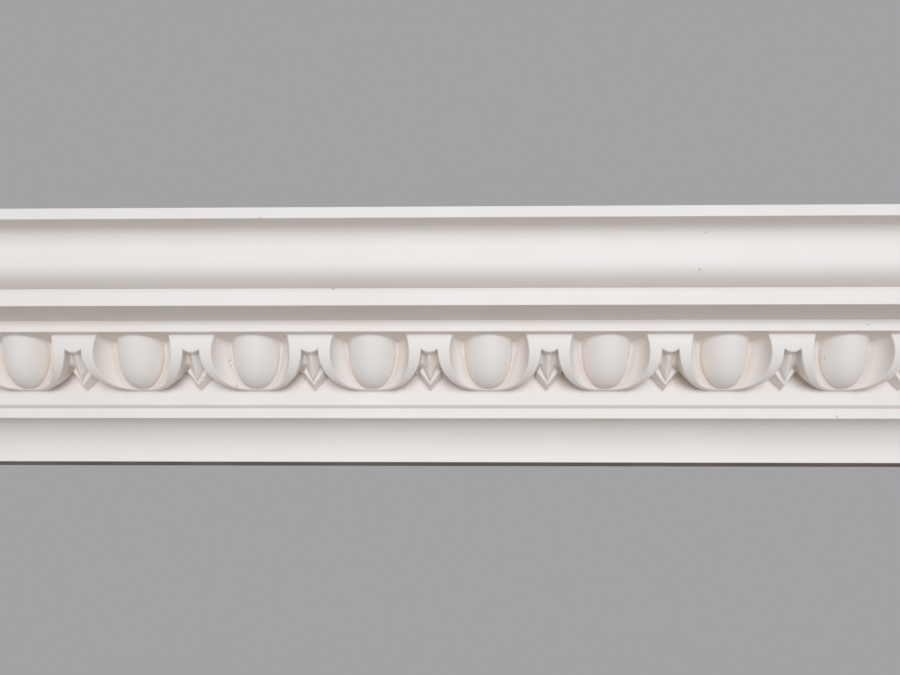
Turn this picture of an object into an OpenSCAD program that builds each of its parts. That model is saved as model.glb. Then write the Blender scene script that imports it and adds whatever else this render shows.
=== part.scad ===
// Egg-and-dart cornice, a plain length cast in plaster.
// X runs along the wall, the moulded face looks towards -Y and +Z is up.
// The wall bed lies on the plane Y = 0, and the origin is at its centre.

/* [Run] */
// Number of whole egg-and-dart repeats in the length
repeats = 9; // [3:1:16]
// Distance from one dart to the next
pitch = 60; // [58:1:75]

/* [Bearing faces] */
// Height of the flat face that is bedded on the wall
wall_bed_h = 34; // [20:1:45]
// Depth of the flat face that is bedded on the ceiling
ceiling_bed_d = 50; // [35:1:65]

/* [Lower members] */
// Depth of the flat underside, from the wall to the foot of the cavetto
foot_d = 11; // [6:0.5:20]
// Radius of the cavetto
cavetto_r = 19; // [12:0.5:26]
// Height of the listel over the cavetto
listel_h = 5.2; // [3:0.1:9]
// Size of the 45 degree splay between the listel and the flat band
splay = 1.5; // [0.5:0.1:3]
// Height of the flat band under the eggs
band_h = 7.3; // [3:0.1:12]

/* [Egg and dart course] */
// Radius of the ovolo that the husks are carved to
ovolo_r = 22.4; // [18:0.2:27]
// Flat return from the foot of the ovolo back to the bed behind the darts
ovolo_return = 2.8; // [1:0.1:6]
// Angle below level along which the sides of the husks are cut
draw_angle = 38; // [25:1:50]
// Radius of the round outline of one husk
husk_r = 26; // [21:0.2:28]
// Drop from the quirk to the centre of the husk outline, along the ovolo
husk_drop = 7; // [3:0.1:9]
// Greatest radius of the hollow inside the husk
bowl_r = 19.7; // [16:0.1:21]
// Radius of the curve of that hollow along its length
bowl_sweep = 37; // [30:0.5:60]
// Lean of the axis of the hollow from upright
bowl_lean = 30; // [20:1:40]
// Distance of that axis in front of the face, at the quirk
bowl_ahead = 4.8; // [2:0.1:8]
// Distance along that axis to the widest place of the hollow
bowl_waist = 11; // [6:0.5:16]
// Greatest radius of the egg
egg_r = 12.3; // [9:0.1:14]
// Length of the egg below the quirk, along its axis
egg_len = 24; // [18:0.2:26]
// Radius of the egg's nose
egg_nose_r = 9; // [5:0.1:10]
// Lean of the egg's axis from upright
egg_lean = 25; // [15:1:35]

/* [Dart] */
// Drop from the quirk to the lowest point of the lip that joins two husks
lip_drop = 8.9; // [5:0.1:12]
// Sag of the lip's curved lower edge between the husks
lip_sag = 1.6; // [0.5:0.1:2.5]
// Depth of the dart's ridge behind the face of the lip
shaft_set_back = 3; // [1:0.1:5]
// Radius of the rounded shaft where it leaves the lip
shaft_r = 4.3; // [2:0.1:6]
// Width across the notches, where the shaft meets the arrowhead
notch_w = 7.4; // [4:0.1:9]
// Width of the arrowhead across its barbs
barb_w = 11; // [7:0.1:14]
// Height of the barbs' outer corners over the point
barb_rise = 5.4; // [3:0.1:8]
// Height of the notches inside the barbs over the point
notch_rise = 7; // [5:0.1:10]
// Height of the point over the foot of the ovolo
point_rise = 1.2; // [0.5:0.1:3]
// Depth of the point in front of the bed behind it
point_relief = 6.7; // [3:0.1:9]
// Fall of the arrowhead's side walls towards the bed, in degrees
wall_fall = 9; // [0:1:15]

/* [Upper members] */
// Depth of the quirk, the small soffit over the eggs
quirk_d = 4.2; // [2:0.1:7]
// Height of the flat band over the eggs
upper_band_h = 6; // [3:0.1:10]
// Depth of the corona's soffit
corona_d = 19.5; // [10:0.5:28]
// Height of the corona's face
corona_h = 8.9; // [5:0.1:14]
// Radius of the round lower half of the cyma
cyma_round_r = 9.4; // [6:0.5:15]
// Height of the upright stretch between the two halves of the cyma
cyma_flat_h = 4; // [1:0.1:8]
// Radius of the hollow upper half of the cyma
cyma_hollow_r = 10.2; // [6:0.5:15]
// Depth of the small soffit behind the top fascia
fascia_d = 7; // [3:0.1:12]
// Height of the top fascia
fascia_h = 5.8; // [3:0.1:10]

/* [Hidden] */
$fn = 64;

length = repeats * pitch;
overlap = 2; // how far one mass is let into another
far = 200; // longer than any one member

// How far each upright face stands from the wall, from the foot upwards
listel_y = foot_d + cavetto_r;
bed_y = listel_y + splay;
ovolo_y = bed_y + ovolo_return + ovolo_r;
upper_band_y = ovolo_y + quirk_d;
corona_y = upper_band_y + corona_d;
cyma_y = corona_y + cyma_round_r;
cyma_top_y = cyma_y + cyma_hollow_r;
fascia_y = cyma_top_y + fascia_d;

// Height of each level over the underside
listel_z = cavetto_r;
splay_z = listel_z + listel_h;
band_z = splay_z + splay;
ovolo_z = band_z + band_h;
quirk_z = ovolo_z + ovolo_r;
corona_soffit_z = quirk_z + upper_band_h;
cyma_z = corona_soffit_z + corona_h;
cyma_round_top_z = cyma_z + cyma_round_r;
cyma_hollow_z = cyma_round_top_z + cyma_flat_h;
fascia_z = cyma_hollow_z + cyma_hollow_r;
top_z = fascia_z + fascia_h;

plaster = [0.93, 0.92, 0.90];

// Turns a drawing of the section, x being the distance from the wall and y
// the height, into a prism of the given width along the run.
module along_run(width) {
    rotate([90, 0, -90])
        linear_extrude(height = width, center = true)
            children();
}

// Moves to the edge of the quirk on the face of the ovolo, where the egg,
// husk and dart are set out from.
module at_quirk() {
    translate([0, -ovolo_y, quirk_z])
        children();
}

// The section of the plain run, with the bed of the enrichment left bare.
module run_section() {
    difference() {
        union() {
            polygon([
                [0, 0],
                [listel_y, 0],
                [listel_y, splay_z],
                [bed_y, band_z],
                [bed_y, quirk_z],
                [upper_band_y, quirk_z],
                [upper_band_y, corona_soffit_z],
                [corona_y, corona_soffit_z],
                [corona_y, cyma_round_top_z],
                [cyma_y, cyma_round_top_z],
                [cyma_y, cyma_hollow_z],
                [cyma_top_y, cyma_hollow_z],
                [cyma_top_y, fascia_z],
                [fascia_y, fascia_z],
                [fascia_y, top_z],
                [fascia_y - ceiling_bed_d, top_z],
                [0, wall_bed_h]
            ]);
            translate([corona_y, cyma_round_top_z])
                circle(r = cyma_round_r);
        }
        translate([listel_y, 0])
            circle(r = cavetto_r);
        translate([cyma_top_y, cyma_hollow_z])
            circle(r = cyma_hollow_r);
    }
}

// The section of the ovolo that the husks are carved from, let into the bed.
module ovolo_section() {
    foot_y = bed_y - overlap;
    translate([foot_y, ovolo_z])
        square([ovolo_return + overlap, ovolo_r + overlap]);
    intersection() {
        translate([bed_y + ovolo_return, quirk_z])
            circle(r = ovolo_r);
        translate([foot_y, ovolo_z - overlap])
            square([ovolo_r + ovolo_return + overlap, ovolo_r + overlap]);
    }
}

// The round outline of one husk, cut right through along the draw.
module husk_outline() {
    at_quirk()
        rotate([draw_angle, 0, 0])
            translate([0, 0, -husk_drop])
                rotate([90, 0, 0])
                    cylinder(r = husk_r, h = far, center = true);
}

// The lip that fills the gap between two husks, round at its lower edge, cut
// through on the level.
module lip_outline() {
    gap = pitch - 2 * husk_r;
    lip_r = gap * gap / (8 * lip_sag) + lip_sag / 2;
    block_w = gap + 2 * overlap;
    at_quirk()
        rotate([90, 0, 0])
            linear_extrude(height = far, center = true)
                intersection() {
                    translate([-block_w / 2, -lip_drop])
                        square([block_w, lip_drop + overlap]);
                    union() {
                        translate([-block_w / 2, lip_sag - lip_drop + overlap])
                            square([block_w, lip_drop]);
                        translate([0, lip_r - lip_drop])
                            circle(r = lip_r);
                    }
                }
}

// The hollow inside a husk, a spindle that stops at the quirk.
module bowl() {
    intersection() {
        at_quirk()
            translate([0, -bowl_ahead, 0])
                rotate([bowl_lean, 0, 0])
                    rotate_extrude()
                        intersection() {
                            translate([bowl_r - bowl_sweep, -bowl_waist])
                                circle(r = bowl_sweep);
                            translate([0, -far / 2])
                                square([far, far]);
                        }
        at_quirk()
            translate([-pitch / 2, -far / 2, -far])
                cube([pitch, far, far]);
    }
}

// Half of the egg's outline: a long side curve that runs into a round nose.
module egg_half() {
    nose_z = egg_nose_r - egg_len;
    side_r = (nose_z * nose_z + egg_r * egg_r - egg_nose_r * egg_nose_r)
        / (2 * (egg_r - egg_nose_r));
    side_x = egg_r - side_r;
    touch = side_r / (side_r - egg_nose_r);
    intersection() {
        translate([side_x, 0])
            circle(r = side_r);
        polygon([
            [0, egg_r],
            [far, egg_r],
            [far, 0],
            [side_x * (1 - touch), nose_z * touch],
            [0, nose_z]
        ]);
    }
    intersection() {
        translate([0, nose_z])
            circle(r = egg_nose_r);
        translate([0, -far])
            square([far, far]);
    }
}

// One egg, leaning back along the ovolo and let into the quirk's soffit.
module egg() {
    intersection() {
        at_quirk()
            translate([0, egg_r / cos(egg_lean), 0])
                rotate([egg_lean, 0, 0])
                    rotate_extrude()
                        egg_half();
        at_quirk()
            translate([-pitch / 2, -far / 2, overlap - far])
                cube([pitch, far, far]);
    }
}

// The front view of a dart, with its point at the origin.
module dart_outline() {
    root_rise = ovolo_r - point_rise - lip_drop + overlap;
    polygon([
        [0, 0],
        [barb_w / 2, barb_rise],
        [notch_w / 2, notch_rise],
        [shaft_r, root_rise],
        [-shaft_r, root_rise],
        [-notch_w / 2, notch_rise],
        [-barb_w / 2, barb_rise]
    ]);
}

// One dart: a rounded shaft that runs down from under the lip to the point,
// on a flat arrowhead whose side walls go back to the bed.
module dart() {
    point_y = ovolo_r + ovolo_return - point_relief;
    point_z = point_rise - ovolo_r;
    lip_face_y = ovolo_r - sqrt(ovolo_r * ovolo_r - lip_drop * lip_drop);
    ridge_lean = atan2(point_y - lip_face_y - shaft_set_back, -lip_drop - point_z);
    root_y = lip_face_y + shaft_set_back + shaft_r * cos(ridge_lean);
    root_z = -lip_drop + shaft_r * sin(ridge_lean);
    seat_lean = atan2(point_y - root_y, root_z - point_z);
    seat_len = norm([point_y - root_y, root_z - point_z]);
    at_quirk() {
        translate([0, point_y, point_z])
            rotate([seat_lean, 0, 0])
                cylinder(r1 = 0, r2 = shaft_r, h = seat_len);
        intersection() {
            translate([0, point_y, point_z])
                rotate([90 - wall_fall, 0, 0])
                    linear_extrude(height = 2 * far, center = true)
                        dart_outline();
            translate([0, point_y, point_z])
                rotate([seat_lean, 0, 0])
                    translate([-pitch / 2, 0, -far / 2])
                        cube([pitch, far, far]);
            translate([-pitch / 2, 0, -far / 2])
                cube([pitch, ovolo_r + ovolo_return + overlap, far]);
        }
    }
}

// The whole course of enrichment, cut square at the centre of a dart.
module egg_and_dart() {
    difference() {
        intersection() {
            along_run(length)
                ovolo_section();
            union() {
                for (i = [0.5 : repeats])
                    translate([i * pitch - length / 2, 0, 0])
                        husk_outline();
                for (i = [0 : repeats])
                    translate([i * pitch - length / 2, 0, 0])
                        lip_outline();
            }
        }
        for (i = [0.5 : repeats])
            translate([i * pitch - length / 2, 0, 0])
                bowl();
    }
    for (i = [0.5 : repeats])
        translate([i * pitch - length / 2, 0, 0])
            egg();
    for (i = [1 : repeats - 1])
        translate([i * pitch - length / 2, 0, 0])
            dart();
    for (side = [-1, 1])
        translate([side * length / 2, 0, 0])
            intersection() {
                dart();
                translate([-side * far / 2, 0, 0])
                    cube(far, center = true);
            }
}

module cornice() {
    color(plaster)
        translate([0, 0, -wall_bed_h / 2]) {
            along_run(length)
                run_section();
            egg_and_dart();
        }
}

cornice();
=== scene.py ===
import bmesh
import bpy
import math
import numpy as np
from mathutils import Matrix, Vector


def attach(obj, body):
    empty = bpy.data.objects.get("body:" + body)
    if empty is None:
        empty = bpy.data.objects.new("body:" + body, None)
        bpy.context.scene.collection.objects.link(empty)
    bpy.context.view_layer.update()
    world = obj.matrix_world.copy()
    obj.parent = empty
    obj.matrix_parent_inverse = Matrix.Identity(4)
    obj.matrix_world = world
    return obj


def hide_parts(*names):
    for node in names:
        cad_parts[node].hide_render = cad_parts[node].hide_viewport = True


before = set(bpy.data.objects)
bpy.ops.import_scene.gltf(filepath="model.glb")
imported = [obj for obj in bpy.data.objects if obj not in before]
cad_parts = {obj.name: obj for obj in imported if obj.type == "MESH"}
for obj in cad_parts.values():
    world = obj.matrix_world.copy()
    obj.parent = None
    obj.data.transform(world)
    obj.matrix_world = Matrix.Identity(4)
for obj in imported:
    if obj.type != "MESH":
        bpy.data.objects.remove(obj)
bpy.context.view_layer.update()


# ---------------------------------------------------------------------------
# The eggs and darts: the enriched course, cast in one with the rest. It is
# carved once in the model, one egg in its husk and one dart to a repeat, and
# repeats from the mould. Its arrises are softened by coats of paint.
# ---------------------------------------------------------------------------

# Sizes in millimetres. x is along the run, y goes in from the face of the
# course towards the wall, and z is up from the quirk over the eggs.
PITCH = 60.0
REPEATS = 9
LENGTH = REPEATS * PITCH
ARRIS = 0.35         # what the coats of paint leave of a sharp edge

OVOLO_R = 22.4
OVOLO_RETURN = 2.8
BED = OVOLO_R + OVOLO_RETURN


def soft_min(a, b, blend):
    """The nearer of two distances, with a fillet where they meet."""
    h = np.maximum(blend - np.abs(a - b), 0.0) / blend
    return np.minimum(a, b) - h * h * blend * 0.25


def soft_max(a, b, blend):
    """The farther of two distances, with a rounded edge where they meet."""
    return -soft_min(-a, -b, blend)


def turned(y, z, y_start, degrees):
    """Distance down an axis that leans back from (y_start, 0), and off it."""
    s = math.sin(math.radians(degrees))
    c = math.cos(math.radians(degrees))
    return (y - y_start) * s - z * c, (y - y_start) * c + z * s


def ovolo(y, z):
    """Quarter round of the husks' faces, with its return to the bed."""
    return np.hypot(np.maximum(OVOLO_R - y, 0.0), np.maximum(-z, 0.0)) - OVOLO_R


HUSK_R = 26.0
HUSK_DROP = 7.0
DRAW_ANGLE = 38.0    # the way the casting leaves its mould
HUSK_DRAFT = 0.08
DRAFT_START = 2.0


def husk(x, y, z):
    """Round-ended block that holds one egg, tapered to leave the mould."""
    down, inward = turned(y, z, 0.0, DRAW_ANGLE)
    rim = HUSK_R + HUSK_DRAFT * (inward + DRAFT_START)
    return soft_max(ovolo(y, z), np.hypot(x, down - HUSK_DROP) - rim, 2 * ARRIS)


BOWL_R = 19.7
BOWL_SWEEP = 37.0
BOWL_LEAN = 30.0
BOWL_AHEAD = 4.8
BOWL_WAIST = 11.0


def bowl(x, y, z):
    """Hollow in the husk round the egg, swept like the inside of a cup."""
    down, off = turned(y, z, -BOWL_AHEAD, BOWL_LEAN)
    out = np.hypot(x, off) + BOWL_SWEEP - BOWL_R
    return np.hypot(out, down - BOWL_WAIST) - BOWL_SWEEP


EGG_R = 12.3
EGG_LEN = 23.1
EGG_FULLNESS = 2.4   # 2 would be a plain oval
EGG_LEAN = 25.0
LEAST_SIZE = 1e-6    # these two keep the middle of the egg
LEAST_SLOPE = 0.02   # from dividing by nothing


def egg(x, y, z):
    """Rounded to its nose below, and straight above, up into the quirk."""
    down, off = turned(y, z, EGG_R / math.cos(math.radians(EGG_LEAN)), EGG_LEAN)
    n = EGG_FULLNESS
    across = np.hypot(x, off) / EGG_R
    along_axis = np.maximum(down, 0.0) / EGG_LEN
    size = np.maximum(across ** n + along_axis ** n, LEAST_SIZE) ** (1 / n)
    slope = np.hypot(across ** (n - 1) / EGG_R, along_axis ** (n - 1) / EGG_LEN)
    return (size - 1) / np.maximum(slope * size ** (1 - n), LEAST_SLOPE)


LIP_DROP = 8.9
LIP_SAG = 1.6


def lip(x, y, z):
    """Small sagging apron between two husks, over the dart."""
    gap = PITCH - 2 * HUSK_R
    lip_r = gap * gap / (8 * LIP_SAG) + LIP_SAG / 2
    edge = np.hypot(x, np.minimum(z - lip_r + LIP_DROP, 0.0)) - lip_r
    return soft_max(ovolo(y, z), edge, 2 * ARRIS)


SHAFT_SET_BACK = 3.0
SHAFT_W = 7.8
SHAFT_FLANK = 1.4    # fall of its flanks for each millimetre out from the ridge
SHAFT_RISE = 1.6
SHAFT_EASE = 0.6
RIDGE_R = 1.1
NOTCH_RISE = 8.4
BARB_W = 11.2
BARB_RISE = 6.6
POINT_RISE = 1.2
POINT_RELIEF = 6.7
HEAD_LEAN = 20.0
HEAD_EASE = 0.5
WALL_FALL = 9.0      # tilt of the walls cut round the dart
HEAD_LAP = 2.0       # how far the dart runs up behind the lip
WEB_DEPTH = 2.6
WEB_LAP = 3.8        # and the web
WEB_HALF_W = BARB_W * 0.7
SNUG = 0.3           # fillets where two members meet: least,
SOFT = 0.6           # middling
BROAD = 1.0          # and most


def dart(x, y, z):
    """Ridged shaft and barbed head, on a sunk web that joins them to the bed."""
    x = np.abs(x)
    lip_y = OVOLO_R - math.sqrt(OVOLO_R ** 2 - LIP_DROP ** 2)
    point_y = BED - POINT_RELIEF
    point_z = POINT_RISE - OVOLO_R
    # The ridge of the shaft runs from under the lip down to the point.
    run, rise = point_y - lip_y - SHAFT_SET_BACK, -LIP_DROP - point_z
    behind = ((y - point_y) * rise + (z - point_z) * run) / math.hypot(run, rise)
    gable = SHAFT_FLANK * (np.hypot(x, RIDGE_R) - RIDGE_R) - behind
    fall = math.radians(WALL_FALL)
    height = (y - point_y) * math.sin(fall) + (z - point_z) * math.cos(fall)
    taper = np.minimum((height - SHAFT_RISE) / (NOTCH_RISE - SHAFT_RISE), 1.0)
    half_w = SHAFT_W / 2 * taper
    shaft = soft_max(gable / math.hypot(1, SHAFT_FLANK), x - half_w, SHAFT_EASE)
    # The head is a flat-faced arrow, cut in from its barbs to the shaft.
    lean = math.radians(HEAD_LEAN)
    front = -(y - point_y) * math.cos(lean) - (z - point_z) * math.sin(lean)
    under = (x * BARB_RISE - height * BARB_W / 2) / math.hypot(BARB_W / 2, BARB_RISE)
    step, climb = (BARB_W - SHAFT_W) / 2, NOTCH_RISE - BARB_RISE
    over = ((x - BARB_W / 2) * climb + (height - BARB_RISE) * step) / math.hypot(step, climb)
    head = soft_max(np.maximum(under, over), front, HEAD_EASE)
    arrow = np.maximum(soft_min(shaft, head, SNUG), z + LIP_DROP - HEAD_LAP)
    web = np.maximum(WEB_DEPTH - behind, NOTCH_RISE - height)
    web = np.maximum(np.maximum(web, x - WEB_HALF_W), z + LIP_DROP - WEB_LAP)
    return soft_min(arrow, web, BROAD)


COVE = 3.4           # fillet between egg and bowl at the quirk,
COVE_LEAST = 0.8     # and at the nose
COVE_FALL = 0.3      # what it loses for each millimetre down


def carved(p):
    """Distance of points from the sound surface, under 0 inside it."""
    x, y, z = p[..., 0], p[..., 1], p[..., 2]
    from_egg = (x + LENGTH / 2) % PITCH - PITCH / 2
    from_dart = (x + LENGTH / 2 + PITCH / 2) % PITCH - PITCH / 2
    shell = soft_max(husk(from_egg, y, z), -bowl(from_egg, y, z), 2 * ARRIS)
    cove = np.clip(COVE + z * COVE_FALL, COVE_LEAST, COVE)
    body = soft_min(shell, egg(from_egg, y, z), cove)
    body = soft_min(body, dart(from_dart, y, z), BROAD)
    body = soft_min(body, lip(from_dart, y, z), SNUG)
    body = soft_min(body, BED - y, SOFT)
    return soft_min(body, -z, SOFT)


# Small losses to two darts and a bowl: x along the run, z, and radius.
CHIPS = (
    (-152.2, -18.8, 1.0),
    (-147.6, -18.0, 0.9),
    (151.9, -15.2, 1.1),
    (-133.5, -9.3, 0.8),
    (-133.0, -11.5, 0.7),
)


SIGHT_START = -2.0
SIGHT_STEP = 0.1


def chip_centre(x, z):
    """Where a level line from the front first meets the sound surface."""
    depth = np.arange(SIGHT_START, BED + 1.0, SIGHT_STEP)
    line = np.stack([np.full_like(depth, x), depth, np.full_like(depth, z)], axis=-1)
    return depth[np.argmax(carved(line) < 0)]


CHIP_CENTRES = [np.array((x, chip_centre(x, z), z)) for x, z, _ in CHIPS]


def course(p):
    """The carved surface with its chips knocked out."""
    body = carved(p)
    for centre, (_, _, radius) in zip(CHIP_CENTRES, CHIPS):
        body = soft_max(body, radius - np.linalg.norm(p - centre, axis=-1), SNUG)
    return body


CELL = 0.6           # side of one cell of the lattice
QUIRK_LAP = 1.8      # how far the carved skin runs out under the quirk
BAND_LAP = 4.0       # how far it runs down the flat band


def skin(field, start, counts):
    """Quads over the surface of a field on a lattice, with one point in each
    cell that the surface crosses, and the place of that cell."""
    axes = [start[a] + CELL * np.arange(counts[a]) for a in range(3)]
    value = field(np.stack(np.meshgrid(*axes, indexing="ij"), axis=-1).astype(np.float32))
    cells = np.array(counts) - 1
    number = np.full(cells, -1, np.int64)
    crossings = []
    for a in range(3):
        low = [slice(None)] * 3
        high = [slice(None)] * 3
        low[a], high[a] = slice(0, -1), slice(1, None)
        v0, v1 = value[tuple(low)], value[tuple(high)]
        edge = np.argwhere((v0 < 0) != (v1 < 0))
        v0, v1 = v0[tuple(edge.T)], v1[tuple(edge.T)]
        at = edge.astype(float)
        at[:, a] += v0 / (v0 - v1)
        ring = np.repeat(edge[:, None, :], 4, axis=1)
        b, c = (a + 1) % 3, (a + 2) % 3
        ring[:, (1, 2), b] -= 1
        ring[:, (2, 3), c] -= 1
        ring[v0 >= 0] = ring[v0 >= 0][:, ::-1]
        inside = np.all((ring >= 0) & (ring < cells), axis=2)
        number[tuple(ring[inside].T)] = 0
        crossings.append((at, ring, inside))
    place = np.argwhere(number == 0)
    number[tuple(place.T)] = np.arange(len(place))
    total = np.zeros((len(place), 3))
    count = np.zeros(len(place))
    quads = []
    for at, ring, inside in crossings:
        corner = np.full(inside.shape, -1, np.int64)
        corner[inside] = number[tuple(ring[inside].T)]
        owner = corner[inside]
        for d in range(3):
            reach = np.repeat(at[:, d, None], 4, axis=1)[inside]
            total[:, d] += np.bincount(owner, reach, len(place))
        count += np.bincount(owner, minlength=len(place))
        quads.append(corner[inside.all(axis=1)])
    return np.array(start) + CELL * total / count[:, None], np.concatenate(quads), place


PROBE = 0.02
ROUNDS = 3
GENTLEST = 0.2       # least square of a slope that sets a step


def settled(points, field):
    """Points moved down the slope of the field onto its surface."""
    for _ in range(ROUNDS):
        slope = np.stack([
            field(points + PROBE * axis) - field(points - PROBE * axis)
            for axis in np.eye(3)
        ], axis=1) / (2 * PROBE)
        step = field(points) / np.maximum((slope ** 2).sum(axis=1), GENTLEST)
        points = points - np.clip(step, -CELL / 2, CELL / 2)[:, None] * slope
    return points


# The outermost cells are centred on the two ends, on the quirk's soffit and
# on the flat band, so that the plain members can be joined on there.
along = round(LENGTH / CELL)
deep = round((BED + QUIRK_LAP) / CELL)
tall = round((OVOLO_R + BAND_LAP) / CELL)
start = (-LENGTH / 2 - CELL / 2, BED - (deep + 0.5) * CELL, -(tall + 0.5) * CELL)
points, quads, place = skin(course, start, (along + 2, deep + 3, tall + 3))
points = settled(points, course)
points[place[:, 0] == 0, 0] = -LENGTH / 2
points[place[:, 0] == along, 0] = LENGTH / 2
quirk_line = np.flatnonzero(place[:, 1] == 0)
band_line = np.flatnonzero(place[:, 2] == 0)


# ---------------------------------------------------------------------------
# The plain members, cast in one with the course: foot, cavetto, listel, band,
# corona, cyma and fascia, with two beds and a sloped back behind. One running
# mould strikes them all in the model, so the section is the same end to end.
# ---------------------------------------------------------------------------

# Sizes in millimetres, as distance out from the wall and up from the foot.
WALL_BED = 34.0
CEILING_BED = 50.0
FOOT = 11.0
CAVETTO_R = 19.0
LISTEL = 5.2
SPLAY = 1.5
SPLAY_SINK = 0.8
SPLAY_LIFT = 0.3
BAND = 7.3
QUIRK = 4.2
UPPER_BAND = 6.0
CORONA_DEPTH = 19.5
CORONA = 8.9
CYMA_ROUND = 9.4
CYMA_ROUND_DEPTH = 11.4
CYMA_FLAT = 4.0
CYMA_HOLLOW = 10.2
CYMA_HOLLOW_DEPTH = 8.2
FASCIA_DEPTH = 7.0
FASCIA = 5.8

listel_out = FOOT + CAVETTO_R
band_out = listel_out + SPLAY
face_out = band_out + BED
upper_band_out = face_out + QUIRK
corona_out = upper_band_out + CORONA_DEPTH
cyma_out = corona_out + CYMA_ROUND_DEPTH
hollow_out = cyma_out + CYMA_HOLLOW_DEPTH
fascia_out = hollow_out + FASCIA_DEPTH

listel_top = CAVETTO_R + LISTEL
band_foot = listel_top + SPLAY
quirk_up = band_foot + BAND + OVOLO_R
soffit_up = quirk_up + UPPER_BAND
corona_top = soffit_up + CORONA
round_top = corona_top + CYMA_ROUND
flat_top = round_top + CYMA_FLAT
fascia_foot = flat_top + CYMA_HOLLOW
top = fascia_foot + FASCIA


def bend(out, up, depth, height, first, last, steps):
    """Points round part of an oval, from one angle to another, from outwards."""
    return [
        (out + depth * math.cos(angle), up + height * math.sin(angle))
        for angle in np.radians(np.linspace(first, last, steps + 1))
    ]


NEARLY_STRAIGHT = math.radians(80)
CORNER_POINTS = 5
MOST_CUT = 0.45      # share of a side that one of its corners may take


def softened(outline, radius):
    """An open outline with each sharp corner turned into a small curve."""
    result = [outline[0]]
    for before, corner, after in zip(outline, outline[1:], outline[2:]):
        corner = Vector(corner)
        back, on = Vector(before) - corner, Vector(after) - corner
        half = back.angle(on) / 2
        if half > NEARLY_STRAIGHT:
            result.append(tuple(corner))
            continue
        cut = min(radius / math.tan(half), back.length * MOST_CUT, on.length * MOST_CUT)
        a, b = corner + back.normalized() * cut, corner + on.normalized() * cut
        for t in np.linspace(0, 1, CORNER_POINTS):
            result.append(tuple(a * (1 - t) ** 2 + corner * 2 * t * (1 - t) + b * t ** 2))
    return result + [outline[-1]]


# A nick in the lower arris of the fascia.
NICK_X = -107.0
NICK_W = 1.1
NICK_DEPTH = 0.6

section = softened([
    (face_out + QUIRK_LAP, quirk_up),
    (upper_band_out, quirk_up),
    (upper_band_out, soffit_up),
    (corona_out, soffit_up),
    *bend(corona_out, round_top, CYMA_ROUND_DEPTH, CYMA_ROUND, -90, 0, 24),
    *bend(hollow_out, flat_top, CYMA_HOLLOW_DEPTH, CYMA_HOLLOW, 180, 90, 24),
    (fascia_out - 2 * NICK_W, fascia_foot),
    (fascia_out, fascia_foot),
    (fascia_out, fascia_foot + 2 * NICK_W),
    (fascia_out, top),
    (fascia_out - CEILING_BED, top),
    (0, WALL_BED),
    (0, 0),
    *bend(listel_out, 0, CAVETTO_R, CAVETTO_R, 180, 90, 28),
    (listel_out, listel_top),
    (listel_out - SPLAY_SINK, listel_top + SPLAY_LIFT),
    (band_out, band_foot),
    (band_out, quirk_up - OVOLO_R - BAND_LAP),
], ARRIS)[1:-1]

STATION = 10         # cells from one station of the plain members to the next
NICK_REACH = 5       # cells on each side of the nick with stations of their own
nick_cell = round((NICK_X + LENGTH / 2) / CELL)
stations = np.union1d(
    np.arange(0, along + 1, STATION),
    np.arange(nick_cell - NICK_REACH, nick_cell + NICK_REACH + 1),
)


def nicked(x, out, up):
    """A point of the plain members, moved in where the arris is nicked."""
    away = math.hypot(x - NICK_X, out - fascia_out, up - fascia_foot) / NICK_W
    loss = NICK_DEPTH * math.exp(-away * away)
    return x, -(out - loss), up + loss


mesh = bmesh.new()
skin_verts = [mesh.verts.new((x, -(face_out - y), quirk_up + z)) for x, y, z in points]
for quad in quads:
    mesh.faces.new([skin_verts[i] for i in quad])
rows = [
    [mesh.verts.new(nicked(-LENGTH / 2 + CELL * i, out, up)) for i in stations]
    for out, up in section
]
for upper, lower in zip(rows, rows[1:]):
    for i in range(len(stations) - 1):
        mesh.faces.new((upper[i], upper[i + 1], lower[i + 1], lower[i]))
for line, row in ((quirk_line, rows[0]), (band_line, rows[-1])):
    edge = [skin_verts[i] for i in line[np.argsort(place[line, 0])]]
    for i in range(len(stations) - 1):
        span = edge[stations[i]:stations[i + 1] + 1]
        mesh.faces.new(span + [row[i + 1], row[i]])
bmesh.ops.edgeloop_fill(mesh, edges=[e for e in mesh.edges if e.is_boundary])
bmesh.ops.recalc_face_normals(mesh, faces=mesh.faces)

MM = 0.001           # one millimetre in metres
from_foot = Matrix.Scale(MM, 4) @ Matrix.Translation((0, 0, -WALL_BED / 2))
bmesh.ops.transform(mesh, matrix=from_foot, verts=mesh.verts)
casting_mesh = bpy.data.meshes.new("cornice_casting")
mesh.to_mesh(casting_mesh)
mesh.free()
casting = bpy.data.objects.new("cornice_casting", casting_mesh)
bpy.context.collection.objects.link(casting)

# Only the carved skin is thinned, because the plain members are light already.
TRIANGLES = 185000
SHARP = math.radians(40)
carved_skin = casting.vertex_groups.new(name="carved_skin")
inner = (place[:, 0] > 0) & (place[:, 0] < along) & (place[:, 1] > 0) & (place[:, 2] > 0)
carved_skin.add(np.flatnonzero(inner).tolist(), 1.0, "REPLACE")
casting_mesh.calc_loop_triangles()
thin = casting.modifiers.new("thin", "DECIMATE")
thin.ratio = TRIANGLES / len(casting_mesh.loop_triangles)
thin.vertex_group = carved_skin.name
even = casting.modifiers.new("even", "WEIGHTED_NORMAL")
even.keep_sharp = True
casting_mesh.polygons.foreach_set("use_smooth", [True] * len(casting_mesh.polygons))
with bpy.context.temp_override(object=casting, active_object=casting, selected_objects=[casting]):
    bpy.ops.object.modifier_apply(modifier=thin.name)
    # Where two leaves of the skin meet in one tiny edge, it is drawn to a point.
    mesh = bmesh.new()
    mesh.from_mesh(casting.data)
    bmesh.ops.collapse(mesh, edges=[e for e in mesh.edges if len(e.link_faces) > 2])
    mesh.to_mesh(casting.data)
    mesh.free()
    casting.data.set_sharp_from_angle(angle=SHARP)
    bpy.ops.object.modifier_apply(modifier=even.name)
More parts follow.
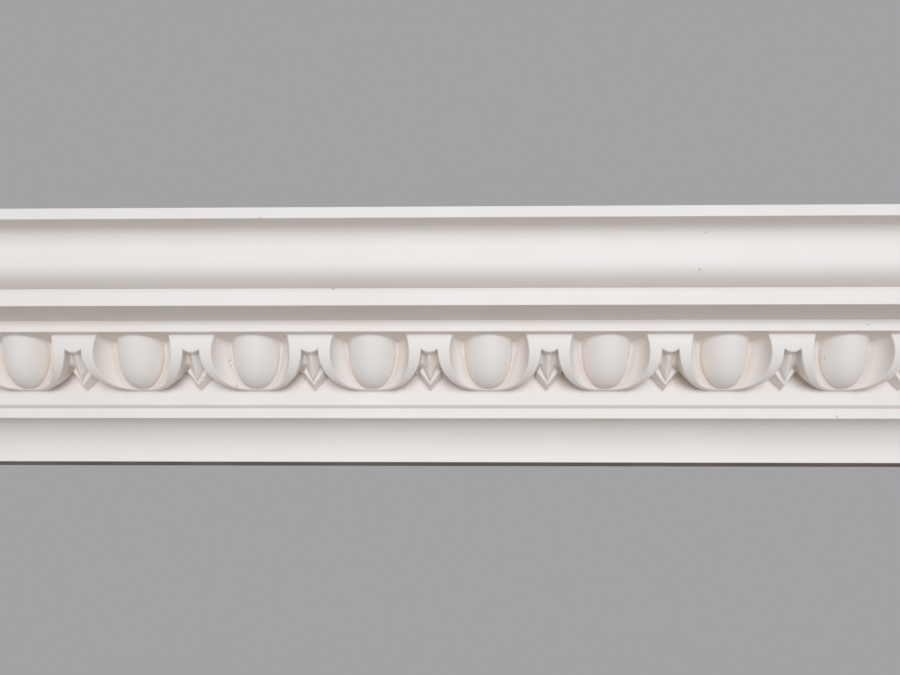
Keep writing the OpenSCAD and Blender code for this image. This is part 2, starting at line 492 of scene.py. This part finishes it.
casting_mesh = casting.data
casting.vertex_groups.clear()

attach(casting, "root")
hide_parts("cornice")


# ---------------------------------------------------------------------------
# The finish: gypsum plaster under coats of off-white flat paint on every face
# that shows, with painted shade in the creases. The beds, the back and the cut
# ends are bare, and the underside is bare and painted dark as shade under it.
# ---------------------------------------------------------------------------


# Painted shade in the creases: a warm brown mixed into the paint by ambient occlusion, most in
# the tightest creases.
CREASE_SHADE = (0.68, 0.565, 0.48, 1)
CREASE_SHADE_REACH = 0.004               # metres from a crease
CREASE_SHADE_COVER = 0.45                # share of it in the deepest crease
PINHOLE_CELLS = 75               # to the metre, with at most one pinhole in each
PINHOLE_EDGE = (0.022, 0.034)    # inner and outer, in cells
# The pinholes are painted darker than the paint round them, as painted shade inside them.
PINHOLE_SHADE = 0.55


def plaster(name, light, dark, roughness, grain, relief):
    """Plaster with cloudy tone, marks along the run, scattered pinholes painted
    dark as shade, and painted shade in its creases."""
    material = bpy.data.materials.new(name)
    material.use_nodes = True
    nodes, links = material.node_tree.nodes, material.node_tree.links
    shader = nodes["Principled BSDF"]
    shader.inputs["Roughness"].default_value = roughness
    where = nodes.new("ShaderNodeTexCoord").outputs["Object"]

    def noise(scale, detail, stretch=(1, 1, 1)):
        mapping = nodes.new("ShaderNodeMapping")
        mapping.inputs["Scale"].default_value = stretch
        links.new(where, mapping.inputs["Vector"])
        node = nodes.new("ShaderNodeTexNoise")
        node.inputs["Scale"].default_value = scale
        node.inputs["Detail"].default_value = detail
        links.new(mapping.outputs["Vector"], node.inputs["Vector"])
        return node.outputs["Fac"]

    def ranged(value, low, high, to_low, to_high):
        node = nodes.new("ShaderNodeMapRange")
        links.new(value, node.inputs["Value"])
        for socket, number in zip(node.inputs[1:5], (low, high, to_low, to_high)):
            socket.default_value = number
        return node.outputs["Result"]

    def mixed(factor, a, b):
        node = nodes.new("ShaderNodeMix")
        node.data_type = "RGBA"
        links.new(factor, node.inputs["Factor"])
        for socket, value in ((node.inputs["A"], a), (node.inputs["B"], b)):
            if isinstance(value, tuple):
                socket.default_value = value
            else:
                links.new(value, socket)
        return node.outputs["Result"]

    cells = nodes.new("ShaderNodeTexVoronoi")
    cells.inputs["Scale"].default_value = PINHOLE_CELLS
    links.new(where, cells.inputs["Vector"])
    spot = ranged(cells.outputs["Distance"], *PINHOLE_EDGE, 1, 0)
    rare = ranged(noise(17, 1), 0.58, 0.62, 0, 1)
    pinhole = nodes.new("ShaderNodeMath")
    pinhole.operation = "MULTIPLY"
    links.new(spot, pinhole.inputs[0])
    links.new(rare, pinhole.inputs[1])

    cloud = mixed(ranged(noise(22, 5), 0.35, 0.7, 0, 1), light, dark)
    # Painted shade inside the pinholes.
    shade = tuple(PINHOLE_SHADE * channel for channel in dark[:3]) + (1,)
    # Painted shade: the paint is darkened towards a warm brown in the creases, by ambient
    # occlusion.
    crease = nodes.new("ShaderNodeAmbientOcclusion")
    crease.samples = 8
    crease.only_local = True
    crease.inputs["Distance"].default_value = CREASE_SHADE_REACH
    crease_shaded = mixed(ranged(crease.outputs["AO"], 0.5, 0.9, CREASE_SHADE_COVER, 0), cloud, CREASE_SHADE)
    links.new(mixed(pinhole.outputs[0], crease_shaded, shade), shader.inputs["Base Color"])

    # Brush marks along the run, the grain of the plaster, and the pinholes.
    surface = None
    for height, strength, distance in (
        (noise(1, 4, (25, 420, 420)), 0.30 * relief, 0.0004),
        (noise(grain, 3), 0.25 * relief, 0.0003),
        (ranged(pinhole.outputs[0], 0, 1, 1, 0), 0.8, 0.0004),
    ):
        bump = nodes.new("ShaderNodeBump")
        bump.inputs["Strength"].default_value = strength
        bump.inputs["Distance"].default_value = distance
        links.new(height, bump.inputs["Height"])
        if surface:
            links.new(surface, bump.inputs["Normal"])
        surface = bump.outputs["Normal"]
    links.new(surface, shader.inputs["Normal"])
    return material


casting_mesh.materials.append(plaster(
    "painted_plaster", light=(0.96, 0.895, 0.835, 1), dark=(0.945, 0.87, 0.80, 1),
    roughness=0.62, grain=700, relief=0.5,
))
casting_mesh.materials.append(plaster(
    "bare_plaster", light=(0.80, 0.765, 0.71, 1), dark=(0.66, 0.62, 0.56, 1),
    roughness=0.9, grain=420, relief=2.2,
))
# The underside: bare plaster painted dark brown, as painted shade under the foot.
casting_mesh.materials.append(plaster(
    "underside_shade_plaster", light=(0.36, 0.31, 0.28, 1), dark=(0.24, 0.20, 0.18, 1),
    roughness=0.9, grain=420, relief=1.6,
))
BARE, SHADED_UNDERSIDE = 1, 2   # the first, painted, is what every other face has

# The least part of its normal that a face has straight up or down on a bed or
# the underside, backward on the back, and along the run on a cut end.
LEVEL = 0.98
BACKWARD = 0.5
SQUARE = 0.999
underside = (1 - WALL_BED / 2) * MM
cut_end = (LENGTH / 2 - 0.1) * MM
bed_height = (top - WALL_BED / 2 - 0.5) * MM
for face in casting_mesh.polygons:
    nx, ny, nz = face.normal
    at_end = abs(nx) > SQUARE and abs(face.center.x) > cut_end
    on_top = nz > LEVEL and face.center.z > bed_height
    # The down-facing faces of the underside get the painted shade.
    if nz < -LEVEL and face.center.z < underside:
        face.material_index = SHADED_UNDERSIDE
    elif ny > BACKWARD or at_end or on_top:
        face.material_index = BARE


# ---------------------------------------------------------------------------
# The studio: a pale floor well below, an even grey backdrop, one broad soft
# light in front, a little to the right, and a weaker one behind for the back.
# ---------------------------------------------------------------------------

FLOOR_HALF = 5.0
FLOOR_Z = -1.4
FLOOR_COLOUR = (0.74, 0.695, 0.65, 1)
BACKDROP = (0.366, 0.366, 0.376, 1)
floor_mesh = bpy.data.meshes.new("floor")
floor_corners = [
    (x * FLOOR_HALF, y * FLOOR_HALF, FLOOR_Z)
    for x, y in ((-1, -1), (1, -1), (1, 1), (-1, 1))
]
floor_mesh.from_pydata(floor_corners, [], [(0, 1, 2, 3)])
floor = bpy.data.objects.new("floor", floor_mesh)
bpy.context.collection.objects.link(floor)
floor_paint = bpy.data.materials.new("floor_paint")
floor_paint.use_nodes = True
floor_shader = floor_paint.node_tree.nodes["Principled BSDF"]
floor_shader.inputs["Base Color"].default_value = FLOOR_COLOUR
floor_mesh.materials.append(floor_paint)

world = bpy.data.worlds.new("backdrop")
world.use_nodes = True
world.node_tree.nodes["Background"].inputs["Color"].default_value = BACKDROP
bpy.context.scene.world = world
bpy.context.scene.view_settings.view_transform = "Standard"


GRID = math.radians(60)


def soft_light(name, place, aim, size, power, colour):
    """A square soft box, gridded so that it lights the casting, not the floor."""
    lamp = bpy.data.lights.new(name, "AREA")
    lamp.spread = GRID
    lamp.size = size
    lamp.energy = power
    lamp.color = colour
    light = bpy.data.objects.new(name, lamp)
    bpy.context.collection.objects.link(light)
    light.location = place
    light.rotation_euler = (Vector(aim) - Vector(place)).to_track_quat("-Z", "Y").to_euler()


soft_light(
    "front", place=(0.22, -2.2, -0.05), aim=(0, -0.08, 0.03),
    size=1.1, power=4.3, colour=(0.83, 0.91, 1.0),
)
soft_light(
    "behind", place=(0.8, 2.0, 1.2), aim=(0, 0, 0),
    size=1.6, power=2.5, colour=(1.0, 0.98, 0.95),
)


# ---------------------------------------------------------------------------
# The camera: a normal lens close below the moulding and almost square to it,
# looking up at 20 degrees as from the floor of a room.
# ---------------------------------------------------------------------------

tilt = math.radians(20.0)
turn = math.radians(1.309)
roll = math.radians(0.08)
LENS = 32
SENSOR_W = 36

# The camera is placed from the top of a dart near the middle of the length.
# Steps are repeats of the pattern, and the last small drop is in metres.
DART = -0.5
STEPS_ASIDE = 3
ASIDE = 3.173
AWAY = 6.742
DROP = 0.0016

level = Vector((0, math.cos(tilt), math.sin(tilt)))
camera_up = Vector((0, -math.sin(tilt), math.cos(tilt)))
camera_right = math.cos(turn) * Vector((1, 0, 0)) + math.sin(turn) * level
camera_ahead = math.cos(turn) * level - math.sin(turn) * Vector((1, 0, 0))
rolled = Matrix.Rotation(roll, 3, camera_ahead)
step = PITCH * MM
dart_top = Vector((DART * step, -face_out * MM, (quirk_up - WALL_BED / 2) * MM))
camera_data = bpy.data.cameras.new("camera")
camera_data.sensor_width = SENSOR_W
camera_data.lens = LENS
camera = bpy.data.objects.new("camera", camera_data)
bpy.context.collection.objects.link(camera)
pose = Matrix((rolled @ camera_right, rolled @ camera_up, -camera_ahead)).transposed().to_4x4()
pose.translation = (
    dart_top
    - camera_right * (STEPS_ASIDE * math.cos(turn) - ASIDE) * step
    - camera_up * DROP
    - camera_ahead * (AWAY - STEPS_ASIDE * math.sin(turn)) * step
)
camera.matrix_world = pose
bpy.context.scene.camera = camera
